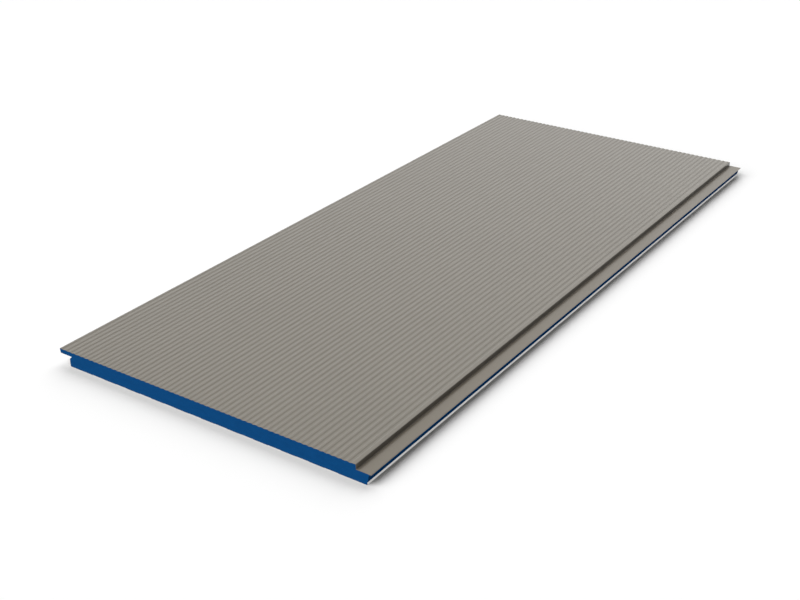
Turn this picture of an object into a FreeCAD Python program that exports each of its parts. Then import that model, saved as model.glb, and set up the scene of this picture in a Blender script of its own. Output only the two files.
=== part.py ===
import FreeCAD, Part
import math
import os

# An insulated sandwich panel for walls, lying with its weather face up. Three bonded pieces run the
# whole length with one constant section: a micro-ribbed steel face, a rigid foam core and a steel
# liner. Millimetres. +Y runs along the panel, +Z out of the weather face; the origin is on the
# ground under the middle of the panel. The nose is on the -X side, the fixing ledge on the +X side.

# Driving dimensions of the whole panel
cover_width = 1150.0       # width that one laid panel covers, nose to nose
panel_length = 2760.0
panel_depth = 53.0         # liner's underside to the crests of the ribs
joint_gap = 2.5            # shadow gap left between a nose and the next panel's riser

# Steel sheets
face_steel = 0.6
liner_steel = 0.5
fold_radius = 1.0          # tight side of the folds along both edges
rib_radius = 0.8           # tight side of the small bends of the ribs and bands

# Micro-ribs of the weather face
groove_count = 57
groove_depth = 1.35
rib_side = 3.0             # run of each sloping side of a rib
rib_crest = 6.9            # flat top between two grooves
nose_margin = 8.5          # plain strip between the nose's edge and the first groove
riser_margin = 13.3        # plain strip between the last groove and the riser's edge

# Nose on the -X edge, which laps over the next panel's ledge
nose_depth = 16.0
nose_lean = 2.0            # how far the nose's tip leans in over its height
nose_return = 22.0         # fold back under the nose
root_clearance = 1.5       # from the covered ledge's edge to the nose's root
root_drop = 4.0            # upright part of the root, above its chamfer
root_chamfer = 5.0         # height of that chamfer
flank_inset = 41.5         # nose's tip to the core's flank below it

# Ledge on the +X edge, which takes the fixings
seat_clearance = 0.2       # between a nose and the ledge under it
riser_lean = 1.0           # how far the riser leans out over its height
ledge_width = 49.5
curl_drop = 2.4            # height of the ledge's rolled edge
curl_return = 7.0          # fold back under the ledge

# Liner
lip_height = 8.5           # upturned edge on both sides
seal_gap = 5.8             # open gap between two liners, left for the seal
band_pitch = 100.0         # shallow lining of the liner's face
band_width = 50.0
band_depth = 0.8
band_side = 3.0
band_margin = 60.0         # plain strip beside each lip

# Worked out from the sizes above
face_width = cover_width - joint_gap
groove_pitch = (face_width - nose_margin - riser_margin + rib_crest) / groove_count
groove_width = groove_pitch - rib_crest
riser_foot = face_width + riser_lean
ledge_edge = riser_foot + ledge_width
ledge_level = panel_depth - nose_depth - seat_clearance
curl_level = ledge_level - curl_drop
nose_level = panel_depth - nose_depth
nose_root = ledge_edge - cover_width + root_clearance
lip_left = flank_inset
lip_right = cover_width + flank_inset - seal_gap


def point(x, z):
    return FreeCAD.Vector(x, 0, z)


def right_of(direction):
    """Unit vector square to a direction in the section plane, on its right-hand side."""
    return FreeCAD.Vector(direction.z, 0, -direction.x)


def bent_line(corners, radii, steel, side):
    """Edges along one side of a folded sheet: side 0 is its outside line, side 1 its inside line.

    corners are the outside line's sharp corners, and radii the bends' tight sides. Both sides
    share their bend centres, so the sheet keeps one thickness. A bend is limited by the shorter
    wall beside it.
    """
    directions = [(end - start).normalize() for start, end in zip(corners, corners[1:])]
    lengths = [(end - start).Length for start, end in zip(corners, corners[1:])]
    offset = side * steel
    edges = []
    pen = corners[0] + right_of(directions[0]) * offset
    for index in range(1, len(corners) - 1):
        before, after = directions[index - 1], directions[index]
        turn = math.atan2(after.x * before.z - after.z * before.x, after.x * before.x + after.z * before.z)
        half_tangent = math.tan(abs(turn) / 2)
        towards_foam = 1 if turn > 0 else -1
        outside_radius = radii[index - 1] + (steel if turn > 0 else 0)
        reach = min(outside_radius * half_tangent, 0.45 * min(lengths[index - 1], lengths[index]))
        arm = towards_foam * reach / half_tangent
        centre = corners[index] - before * reach + right_of(before) * arm
        start = centre - right_of(before) * (arm - offset)
        middle = centre - (right_of(before) + right_of(after)).normalize() * (arm - offset)
        end = centre - right_of(after) * (arm - offset)
        edges.append(Part.LineSegment(pen, start).toShape())
        edges.append(Part.Arc(start, middle, end).toShape())
        pen = end
    edges.append(Part.LineSegment(pen, corners[-1] + right_of(directions[-1]) * offset).toShape())
    return edges


def first_point(edges):
    return edges[0].firstVertex(True).Point


def last_point(edges):
    return edges[-1].lastVertex(True).Point


def run(*corners):
    """Straight edges through a few corners."""
    return [Part.LineSegment(start, end).toShape() for start, end in zip(corners, corners[1:])]


def bar(edges):
    """A closed outline drawn out along the panel."""
    outline = Part.Wire(Part.__sortEdges__(edges))
    solid = Part.Face(outline).extrude(FreeCAD.Vector(0, panel_length, 0))
    solid.translate(FreeCAD.Vector(0, -panel_length / 2, 0))
    return solid


def face_corners():
    """The weather face's outside line, from the fold under the nose to the fold under the ledge."""
    corners = [point(nose_lean + nose_return, nose_level), point(nose_lean, nose_level), point(0, panel_depth)]
    radii = [fold_radius, fold_radius]
    for groove in range(groove_count):
        left = nose_margin + groove * groove_pitch
        right = left + groove_width
        floor = panel_depth - groove_depth
        corners += [point(left, panel_depth), point(left + rib_side, floor),
                    point(right - rib_side, floor), point(right, panel_depth)]
        radii += [rib_radius] * 4
    corners += [point(face_width, panel_depth), point(riser_foot, ledge_level), point(ledge_edge, ledge_level),
                point(ledge_edge, curl_level), point(ledge_edge - curl_return, curl_level)]
    radii += [fold_radius] * 4
    return corners, radii


def liner_corners():
    """The liner's outside line, from the top of the +X lip to the top of the -X lip."""
    corners = [point(lip_right, lip_height), point(lip_right, 0)]
    radii = [fold_radius]
    bands = int((lip_right - lip_left - 2 * band_margin + band_pitch - band_width) // band_pitch)
    right = (lip_left + lip_right + (bands - 1) * band_pitch + band_width) / 2
    for band in range(bands):
        left = right - band_width
        corners += [point(right, 0), point(right - band_side, band_depth),
                    point(left + band_side, band_depth), point(left, 0)]
        radii += [rib_radius] * 4
        right -= band_pitch
    corners += [point(lip_left, 0), point(lip_left, lip_height)]
    radii += [fold_radius]
    return corners, radii


def sheet(corners, radii, steel):
    outside = bent_line(corners, radii, steel, 0)
    inside = bent_line(corners, radii, steel, 1)
    ends = run(first_point(outside), first_point(inside)) + run(last_point(outside), last_point(inside))
    return bar(outside + inside + ends)


def foam_core():
    """Foam that fills the room between both sheets, flush with their free edges."""
    face_line = bent_line(*face_corners(), face_steel, 1)
    liner_line = bent_line(*liner_corners(), liner_steel, 1)
    ledge_flank = run(last_point(face_line),
                      point(ledge_edge - curl_return, curl_level),
                      point(lip_right, lip_height),
                      first_point(liner_line))
    chamfer_top = nose_level - root_drop
    nose_flank = run(last_point(liner_line),
                     point(lip_left, lip_height),
                     point(flank_inset, chamfer_top - root_chamfer),
                     point(nose_root, chamfer_top),
                     point(nose_root, nose_level),
                     point(nose_lean + nose_return, nose_level),
                     first_point(face_line))
    return bar(face_line + ledge_flank + liner_line + nose_flank)


pieces = {
    "outer_face_sheet": sheet(*face_corners(), face_steel),
    "foam_core": foam_core(),
    "inner_liner_sheet": sheet(*liner_corners(), liner_steel),
}

# The section is drawn from the nose's tip, and moved here so that the origin is under its middle
section_middle = (pieces["outer_face_sheet"].BoundBox.XMin + pieces["outer_face_sheet"].BoundBox.XMax) / 2
os.makedirs("parts", exist_ok=True)
for name, solid in pieces.items():
    solid.translate(FreeCAD.Vector(-section_middle, 0, 0))
    solid.exportStep(f"parts/{name}.step")
    box = solid.BoundBox
    print(f"{name}: valid {solid.isValid()}, faces {len(solid.Faces)}, volume {solid.Volume / 1e6:.3f} l, "
          f"x {box.XMin:.2f}..{box.XMax:.2f}, z {box.ZMin:.2f}..{box.ZMax:.2f}")
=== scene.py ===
import math
import bpy
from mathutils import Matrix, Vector


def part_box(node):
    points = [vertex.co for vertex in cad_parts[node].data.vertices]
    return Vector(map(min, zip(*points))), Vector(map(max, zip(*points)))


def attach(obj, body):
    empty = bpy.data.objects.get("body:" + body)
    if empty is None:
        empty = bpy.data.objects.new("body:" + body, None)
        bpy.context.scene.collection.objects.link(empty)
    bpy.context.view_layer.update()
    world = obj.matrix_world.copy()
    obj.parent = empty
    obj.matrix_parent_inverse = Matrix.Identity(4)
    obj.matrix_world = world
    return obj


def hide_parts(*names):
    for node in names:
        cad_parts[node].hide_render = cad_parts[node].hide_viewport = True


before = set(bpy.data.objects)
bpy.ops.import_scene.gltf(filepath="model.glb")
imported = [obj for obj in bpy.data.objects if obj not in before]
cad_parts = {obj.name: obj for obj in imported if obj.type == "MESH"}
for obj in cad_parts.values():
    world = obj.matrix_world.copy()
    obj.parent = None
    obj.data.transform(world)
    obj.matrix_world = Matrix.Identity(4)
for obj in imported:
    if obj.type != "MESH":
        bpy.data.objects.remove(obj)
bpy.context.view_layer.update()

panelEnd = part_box("foam_core")[1].y  # both ends are square cuts, at plus and minus this
print("frame loaded, panel", round(2 * panelEnd, 3), "m long")

touching = 1e-6  # points nearer than this, in metres, are one point
foldAngle = math.radians(28)  # edges that turn by more than this stay crisp
endSlot = 1  # material slot of the two cut ends, where slot 0 is all the rest
facingAlong = 0.9  # Y of a face's normal, from which the face is part of an end


def deselectAll():
    if bpy.context.object and bpy.context.object.mode != "OBJECT":
        bpy.ops.object.mode_set(mode="OBJECT")
    bpy.ops.object.select_all(action="DESELECT")


def pickUp(piece):
    deselectAll()
    piece.select_set(True)
    bpy.context.view_layer.objects.active = piece


def addNode(tree, kind, sockets=None, **settings):
    node = tree.nodes.new(kind)
    for name, value in settings.items():
        setattr(node, name, value)
    for name, value in (sockets or {}).items():
        if isinstance(value, bpy.types.NodeSocket):
            tree.links.new(value, node.inputs[name])
        else:
            node.inputs[name].default_value = value
    return node


def maths(tree, operation, first, second, clamp=False):
    node = addNode(tree, "ShaderNodeMath", {0: first, 1: second}, operation=operation, use_clamp=clamp)
    return node.outputs[0]


def swing(tree, pattern, share):
    # Turns a pattern between 0 and 1 into a weaker one on both sides of 0
    return maths(tree, "MULTIPLY", maths(tree, "SUBTRACT", pattern, 0.5), share)


def spread(tree, value, limits):
    # Turns 0 to 1 into the first to the second limit
    sockets = {"Value": value, "To Min": limits[0], "To Max": limits[1]}
    return addNode(tree, "ShaderNodeMapRange", sockets).outputs["Result"]


def noise(tree, place, perMetre, detail=2.0, roughness=0.5):
    sockets = {"Vector": place, "Scale": perMetre, "Detail": detail, "Roughness": roughness}
    return addNode(tree, "ShaderNodeTexNoise", sockets).outputs["Fac"]


def voronoi(tree, place, perMetre):
    return addNode(tree, "ShaderNodeTexVoronoi", {"Vector": place, "Scale": perMetre}).outputs


def stretched(tree, place, scale):
    return addNode(tree, "ShaderNodeMapping", {"Vector": place, "Scale": scale}).outputs["Vector"]


def blend(tree, mask, first, second):
    # Colours are given as three numbers or come from another node; 6 and 7 are the colour sockets
    node = addNode(tree, "ShaderNodeMix", {0: mask}, data_type="RGBA")
    for index, colour in ((6, first), (7, second)):
        if isinstance(colour, bpy.types.NodeSocket):
            tree.links.new(colour, node.inputs[index])
        else:
            node.inputs[index].default_value = (*colour, 1)
    return node.outputs[2]


def newGroup(name, inputs, outputs):
    tree = bpy.data.node_groups.new(name, "ShaderNodeTree")
    for label, value in inputs.items():
        tree.interface.new_socket(label, in_out="INPUT", socket_type="NodeSocketFloat").default_value = value
    for label in outputs:
        tree.interface.new_socket(label, in_out="OUTPUT", socket_type="NodeSocketFloat")
    given = tree.nodes.new("NodeGroupInput").outputs
    result = tree.nodes.new("NodeGroupOutput").inputs
    place = tree.nodes.new("ShaderNodeTexCoord").outputs["Object"]
    return tree, given, result, place


def newMaterial(name, values):
    material = bpy.data.materials.new(name)
    material.use_nodes = True
    shader = material.node_tree.nodes["Principled BSDF"]
    for label, value in values.items():
        shader.inputs[label].default_value = value
    return material, material.node_tree, shader


def useGroup(tree, group, values):
    node = addNode(tree, "ShaderNodeGroup", node_tree=group)
    for label, value in values.items():
        node.inputs[label].default_value = value
    return node.outputs


def finish(tree, shader, colour, roughness, height, depth):
    tree.links.new(colour, shader.inputs["Base Color"])
    tree.links.new(roughness, shader.inputs["Roughness"])
    bump = addNode(tree, "ShaderNodeBump", {"Height": height, "Distance": depth, "Strength": 1.0})
    tree.links.new(bump.outputs["Normal"], shader.inputs["Normal"])


def coilCoatingGroup():
    # Paint that a coil line rolls on: streaks along the sheet, slow clouds and a fine orange peel.
    # Below one level the colour darkens, less so above it, and it ends at another level; on the weather face
    # this is painted shade with some dust
    inputs = {"Streak Width": 0.004, "Peel Size": 0.0016, "Streaks": 0.5, "Clouds": 0.5,
              "Darkened Below": 0.0, "Plain Above": 0.001}
    tree, given, result, place = newGroup("coilCoating", inputs, ("Tone", "Dullness", "Low Darkening", "Height"))
    streakShape = (1.0, 0.0035, 1.0)  # nearly 300 times as long as wide
    cloudsPerMetre = 3.1
    middleTone = 0.5
    darkIsDull = -0.8
    leastDarkening = 0.6
    speckShare = 0.8

    streaksPerMetre = maths(tree, "DIVIDE", 1.0, given["Streak Width"])
    peelPerMetre = maths(tree, "DIVIDE", 1.0, given["Peel Size"])
    along = stretched(tree, place, streakShape)
    streaks = swing(tree, noise(tree, along, streaksPerMetre, detail=3.0, roughness=0.6), given["Streaks"])
    clouds = swing(tree, noise(tree, place, cloudsPerMetre), given["Clouds"])
    tone = maths(tree, "ADD", streaks, clouds)
    dullness = maths(tree, "MULTIPLY", tone, darkIsDull)
    tree.links.new(maths(tree, "ADD", tone, middleTone, True), result["Tone"])
    tree.links.new(maths(tree, "ADD", dullness, middleTone, True), result["Dullness"])
    tree.links.new(noise(tree, place, peelPerMetre, detail=1.0), result["Height"])

    # Darkening of the low parts, in specks: painted shade with some dust on the weather face
    level = addNode(tree, "ShaderNodeSeparateXYZ", {"Vector": place}).outputs["Z"]
    sockets = {"Value": level, "From Min": given["Darkened Below"], "From Max": given["Plain Above"],
               "To Min": 1.0, "To Max": 0.0}
    lowDown = addNode(tree, "ShaderNodeMapRange", sockets).outputs["Result"]
    specks = noise(tree, along, streaksPerMetre, detail=4.0, roughness=0.7)
    specks = maths(tree, "ADD", maths(tree, "MULTIPLY", specks, speckShare), leastDarkening)
    tree.links.new(maths(tree, "MULTIPLY", lowDown, specks), result["Low Darkening"])
    return tree


def foamCellsGroup():
    # Closed cells of a rigid foam, with a few open pores and a slow change of tone
    inputs = {"Cell Size": 0.0008, "Pores": 0.3, "Flow": 0.4}
    tree, given, result, place = newGroup("foamCells", inputs, ("Tone", "Pore Mask", "Height"))
    poresPerCell = 0.19  # along a line, so the places for pores are five cells apart
    widestPore = 0.46  # its radius, as a share of the way to the next place
    raggedRim = 0.12
    rimSharpness = 16.0
    flowPerMetre = 34.0
    flowShape = (1.0, 1.0, 2.6)  # wider than tall
    middleTone = 0.5
    middleCell = 0.45
    cellContrast = 0.55

    cellsPerMetre = maths(tree, "DIVIDE", 1.0, given["Cell Size"])
    poresPerMetre = maths(tree, "MULTIPLY", cellsPerMetre, poresPerCell)
    cells = voronoi(tree, place, cellsPerMetre)["Distance"]
    pores = voronoi(tree, place, poresPerMetre)
    ownSize = maths(tree, "POWER", pores["Color"], 2.0)  # most places have a very small pore
    reach = maths(tree, "MULTIPLY", ownSize, widestPore)
    ragged = maths(tree, "MULTIPLY", noise(tree, place, cellsPerMetre), raggedRim)
    inside = maths(tree, "SUBTRACT", maths(tree, "SUBTRACT", reach, ragged), pores["Distance"])
    poreMask = maths(tree, "MULTIPLY", maths(tree, "MULTIPLY", inside, rimSharpness, True), given["Pores"])

    flow = noise(tree, stretched(tree, place, flowShape), flowPerMetre, detail=3.0, roughness=0.55)
    flowTone = swing(tree, flow, given["Flow"])
    cellTone = maths(tree, "MULTIPLY", maths(tree, "SUBTRACT", middleCell, cells), cellContrast)
    tone = maths(tree, "ADD", maths(tree, "ADD", flowTone, cellTone), middleTone, True)
    tree.links.new(tone, result["Tone"])
    tree.links.new(poreMask, result["Pore Mask"])
    tree.links.new(maths(tree, "SUBTRACT", maths(tree, "MULTIPLY", cells, -1.0), poreMask), result["Height"])
    return tree


coilCoating = coilCoatingGroup()
foamCells = foamCellsGroup()
print("shared effects ready")


def coatedMaterial(name, look):
    material, tree, shader = newMaterial(name, look["shader"])
    layer = useGroup(tree, coilCoating, look["pattern"])
    colour = blend(tree, layer["Tone"], look["dark"], look["light"])
    # Darkens the low parts of the sheet: painted shade with some dust on the weather face
    colour = blend(tree, maths(tree, "MULTIPLY", layer["Low Darkening"], look["lowShare"]), colour, look["lowColour"])
    rough = spread(tree, layer["Dullness"], look["roughness"])

    # What lies beside the sheet gets less of its light, and mirrors its darkened low part as matt
    black = (0.0, 0.0, 0.0)
    rays = tree.nodes.new("ShaderNodeLightPath").outputs
    fromBeside = maths(tree, "MAXIMUM", rays["Is Diffuse Ray"], rays["Is Glossy Ray"])
    colour = blend(tree, maths(tree, "MULTIPLY", fromBeside, 1 - look["bounce"]), colour, black)
    mirroredDarkening = maths(tree, "MULTIPLY", layer["Low Darkening"], rays["Is Glossy Ray"])
    rough = maths(tree, "ADD", rough, maths(tree, "MULTIPLY", mirroredDarkening, look["lowMatt"]), True)
    finish(tree, shader, colour, rough, layer["Height"], look["peelDepth"])
    return material


def foamMaterial(name, look):
    material, tree, shader = newMaterial(name, look["shader"])
    cells = useGroup(tree, foamCells, look["pattern"])
    colour = blend(tree, cells["Tone"], look["dark"], look["light"])
    colour = blend(tree, cells["Pore Mask"], colour, look["pore"])
    rough = spread(tree, cells["Tone"], look["roughness"])
    finish(tree, shader, colour, rough, cells["Height"], look["cellDepth"])
    return material


def cutEdgeMaterial(name, look):
    material, tree, shader = newMaterial(name, look["shader"])
    place = tree.nodes.new("ShaderNodeTexCoord").outputs["Object"]
    shape = stretched(tree, place, look["markShape"])
    marks = noise(tree, shape, look["marksPerMetre"], detail=3.0, roughness=0.6)
    colour = blend(tree, marks, look["steel"], look["zinc"])
    finish(tree, shader, colour, spread(tree, marks, look["roughness"]), marks, look["markDepth"])
    return material


def mergedCopy(node, name):
    piece = bpy.data.objects.new(name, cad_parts[node].data.copy())
    bpy.context.scene.collection.objects.link(piece)
    pickUp(piece)
    bpy.ops.mesh.customdata_custom_splitnormals_clear()
    bpy.ops.object.mode_set(mode="EDIT")
    bpy.ops.mesh.select_all(action="SELECT")
    bpy.ops.mesh.remove_doubles(threshold=touching)
    bpy.ops.object.mode_set(mode="OBJECT")
    bpy.ops.object.shade_smooth_by_angle(angle=foldAngle)
    piece.data.materials.clear()
    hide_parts(node)
    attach(piece, "root")
    return piece


def paintEnds(piece):
    # Both sawn or sheared ends take their own material
    for polygon in piece.data.polygons:
        if abs(polygon.normal.y) > facingAlong:
            polygon.material_index = endSlot


def selectEnds():
    bpy.ops.mesh.select_all(action="DESELECT")
    bpy.ops.object.material_slot_select()


def sawnRelief(piece, look):
    # The saw leaves the ends a little rough: a fine grid of faces there, then a grain pressed into it
    pickUp(piece)
    piece.active_material_index = endSlot
    bpy.ops.object.mode_set(mode="EDIT")
    bpy.ops.mesh.select_mode(type="FACE")
    selectEnds()
    bpy.ops.mesh.dissolve_faces()
    low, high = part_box("foam_core")
    for axis, across in ((2, Vector((0, 0, 1))), (0, Vector((1, 0, 0)))):
        lines = round((high[axis] - low[axis]) / look["gridStep"])
        for line in range(1, lines):
            place = across * (low[axis] + (high[axis] - low[axis]) * line / lines)
            selectEnds()
            bpy.ops.mesh.bisect(plane_co=place, plane_no=across, threshold=touching)
    bpy.ops.mesh.select_all(action="SELECT")
    bpy.ops.mesh.quads_convert_to_tris(quad_method="BEAUTY", ngon_method="BEAUTY")
    bpy.ops.object.mode_set(mode="OBJECT")

    # Only points inside an end move, so its outline still meets the long faces
    ends, sides = set(), set()
    for polygon in piece.data.polygons:
        (ends if polygon.material_index == endSlot else sides).update(polygon.vertices)
    piece.vertex_groups.new(name="sawnEnd").add(sorted(ends - sides), 1.0, "REPLACE")
    grain = bpy.data.textures.new("sawnGrain", "CLOUDS")
    grain.noise_scale = look["grainSize"]
    grain.noise_depth = look["grainDetail"]
    press = piece.modifiers.new("sawnGrain", "DISPLACE")
    press.texture = grain
    press.texture_coords = "LOCAL"
    press.vertex_group = "sawnEnd"
    press.mid_level = 0.0
    press.strength = -look["grainDepth"]
    bpy.ops.object.modifier_apply(modifier=press.name)


# Ends of both steel sheets: sheared metal with the zinc smeared over part of it
cutEdgeLook = {
    "shader": {"Metallic": 1.0},
    "steel": (0.050, 0.047, 0.044),
    "zinc": (0.17, 0.17, 0.17),
    "roughness": (0.35, 0.55),
    "marksPerMetre": 2600,
    "markShape": (1.0, 1.0, 0.2),  # drawn out by the shears, through the sheet's thickness
    "markDepth": 0.00003,
}
cutSteelEdge = cutEdgeMaterial("cutSteelEdge", cutEdgeLook)

faceLook = {
    "shader": {"IOR": 1.55, "Sheen Weight": 0.3, "Sheen Roughness": 0.4},
    "pattern": {"Streak Width": 0.004, "Peel Size": 0.0016, "Streaks": 0.5, "Clouds": 0.5,
                "Darkened Below": 0.040, "Plain Above": 0.051},  # on the ledge and up its riser: painted shade, darker and warmer in the step, with some dust
    "dark": (0.158, 0.141, 0.112),
    "light": (0.198, 0.178, 0.141),
    # Painted shade with some dust: the darker, warmer colour of the ledge and its riser
    "lowColour": (0.130, 0.092, 0.052),
    "lowShare": 0.24,
    "lowMatt": 0.8,  # how much rougher the darkened low part looks where it is mirrored
    "roughness": (0.18, 0.28),
    "bounce": 0.4,  # share of its colour that reaches what lies beside it
    "peelDepth": 0.00001,
}
face = mergedCopy("outer_face_sheet", "outerFaceSheet")
face.data.materials.append(coatedMaterial("faceCoating", faceLook))
face.data.materials.append(cutSteelEdge)
paintEnds(face)
print("weather face ready,", len(face.data.polygons), "faces")

foamLook = {
    "relief": {"gridStep": 0.0026, "grainSize": 0.006, "grainDetail": 2, "grainDepth": 0.0004},
    "sawn": {
        "shader": {"Specular IOR Level": 0.03},
        "pattern": {"Cell Size": 0.0009, "Pores": 0.5, "Flow": 0.5},
        "dark": (0.0020, 0.040, 0.135),
        "light": (0.0041, 0.072, 0.227),
        "pore": (0.001, 0.023, 0.083),
        "roughness": (0.8, 0.95),
        "cellDepth": 0.00025,
    },
    "skinAndShade": {  # both long flanks, moulded smooth between the two sheets; darker than the sawn ends, partly a denser skin, partly painted shade under the overhangs
        "shader": {"Specular IOR Level": 0.0},
        "pattern": {"Cell Size": 0.0030, "Pores": 0.25, "Flow": 0.7},
        "dark": (0.002, 0.022, 0.075),
        "light": (0.004, 0.042, 0.13),
        "pore": (0.001, 0.012, 0.045),
        "roughness": (0.55, 0.75),
        "cellDepth": 0.0002,
    },
}
foam = mergedCopy("foam_core", "foamCore")
# The flanks' darker blue is partly painted shade
foam.data.materials.append(foamMaterial("foamSkinAndShade", foamLook["skinAndShade"]))
foam.data.materials.append(foamMaterial("sawnFoam", foamLook["sawn"]))
paintEnds(foam)
sawnRelief(foam, foamLook["relief"])
foam.visible_diffuse = False  # its blue doesn't tint the floor, as in the photograph
print("foam core ready,", len(foam.data.polygons), "faces")

linerLook = {
    "shader": {"Coat Weight": 0.1, "Coat Roughness": 0.3},
    "pattern": {"Streak Width": 0.006, "Peel Size": 0.0018, "Streaks": 0.4, "Clouds": 0.5,
                "Darkened Below": 0.0004, "Plain Above": 0.003},  # darker in the few millimetres where it touches the ground
    "dark": (0.84, 0.84, 0.825),
    "light": (0.90, 0.90, 0.89),
    "lowColour": (0.6, 0.58, 0.54),
    "lowShare": 0.15,
    "lowMatt": 0.0,
    "roughness": (0.34, 0.46),
    "bounce": 0.35,
    "peelDepth": 0.00001,
}
liner = mergedCopy("inner_liner_sheet", "innerLinerSheet")
liner.data.materials.append(coatedMaterial("linerCoating", linerLook))
liner.data.materials.append(cutSteelEdge)
paintEnds(liner)
print("liner ready,", len(liner.data.polygons), "faces")


white = (1.0, 1.0, 1.0, 1.0)
studio = {
    "floorSize": 60.0,
    "floorColour": white,
    "floorGlow": 1.0,
    "skyFill": 0.01,
    # Angles in degrees: azimuth from +X towards +Y, elevation, and the light's width seen from the panel
    "keyLight": {"azimuth": 242.3, "elevation": 42.4, "width": 65.8, "energy": 2.89},
    "backLight": {"azimuth": 112.6, "elevation": 36.3, "width": 60.9, "energy": 2.03},
    "lampDistance": 4.0,
    "cameraPlace": (2.2138, -3.6351, 1.9741),
    "cameraPitch": 63.033,
    "cameraTurn": 34.006,
    "lens": 56.35,
    "sensorWidth": 36.0,
    "farthestSeen": 200,
}

# The camera sees a white floor with the panel's shadow, and the panel sees one that glows evenly
deselectAll()
bpy.ops.mesh.primitive_plane_add(size=studio["floorSize"], location=(0, 0, 0))
floor = bpy.context.object
floor.name = "floor"
floorPaint, floorTree, floorShader = newMaterial("floorPaint", {"Specular IOR Level": 0.0, "Roughness": 1.0})
floorShader.inputs["Base Color"].default_value = studio["floorColour"]
glow = addNode(floorTree, "ShaderNodeEmission", {"Color": white, "Strength": studio["floorGlow"]})
cameraRays = floorTree.nodes.new("ShaderNodeLightPath").outputs["Is Camera Ray"]
sockets = {0: cameraRays, 1: glow.outputs[0], 2: floorShader.outputs[0]}
floorLook = addNode(floorTree, "ShaderNodeMixShader", sockets)
floorTree.links.new(floorLook.outputs[0], floorTree.nodes["Material Output"].inputs["Surface"])
floor.data.materials.append(floorPaint)

# The sky is white where it is seen or mirrored, and gives next to no light
world = bpy.data.worlds.new("studio")
bpy.context.scene.world = world
world.use_nodes = True
sky = world.node_tree
sky.nodes.clear()
rays = sky.nodes.new("ShaderNodeLightPath").outputs
seen = maths(sky, "MAXIMUM", rays["Is Camera Ray"], rays["Is Glossy Ray"])
seen = maths(sky, "MAXIMUM", seen, rays["Is Transmission Ray"])
dimSky = addNode(sky, "ShaderNodeBackground", {"Color": white, "Strength": studio["skyFill"]})
whiteSky = addNode(sky, "ShaderNodeBackground", {"Color": white, "Strength": 1.0})
either = addNode(sky, "ShaderNodeMixShader", {0: seen, 1: dimSky.outputs[0], 2: whiteSky.outputs[0]})
addNode(sky, "ShaderNodeOutputWorld", {"Surface": either.outputs[0]})

for name in ("keyLight", "backLight"):
    light = studio[name]
    around, up = math.radians(light["azimuth"]), math.radians(light["elevation"])
    towards = Vector((math.cos(up) * math.cos(around), math.cos(up) * math.sin(around), math.sin(up)))
    deselectAll()
    bpy.ops.object.light_add(type="SUN", location=towards * studio["lampDistance"])
    lamp = bpy.context.object
    lamp.name = name
    lamp.data.energy = light["energy"]
    lamp.data.angle = math.radians(light["width"])
    lamp.visible_glossy = False
    lamp.rotation_euler = towards.to_track_quat("Z", "Y").to_euler()

deselectAll()
turn = (math.radians(studio["cameraPitch"]), 0, math.radians(studio["cameraTurn"]))
bpy.ops.object.camera_add(location=studio["cameraPlace"], rotation=turn)
camera = bpy.context.object
camera.name = "photoCamera"
camera.data.lens = studio["lens"]
camera.data.sensor_width = studio["sensorWidth"]
camera.data.clip_end = studio["farthestSeen"]
bpy.context.scene.camera = camera
bpy.context.scene.view_settings.view_transform = "Standard"
print("floor, light and camera ready")
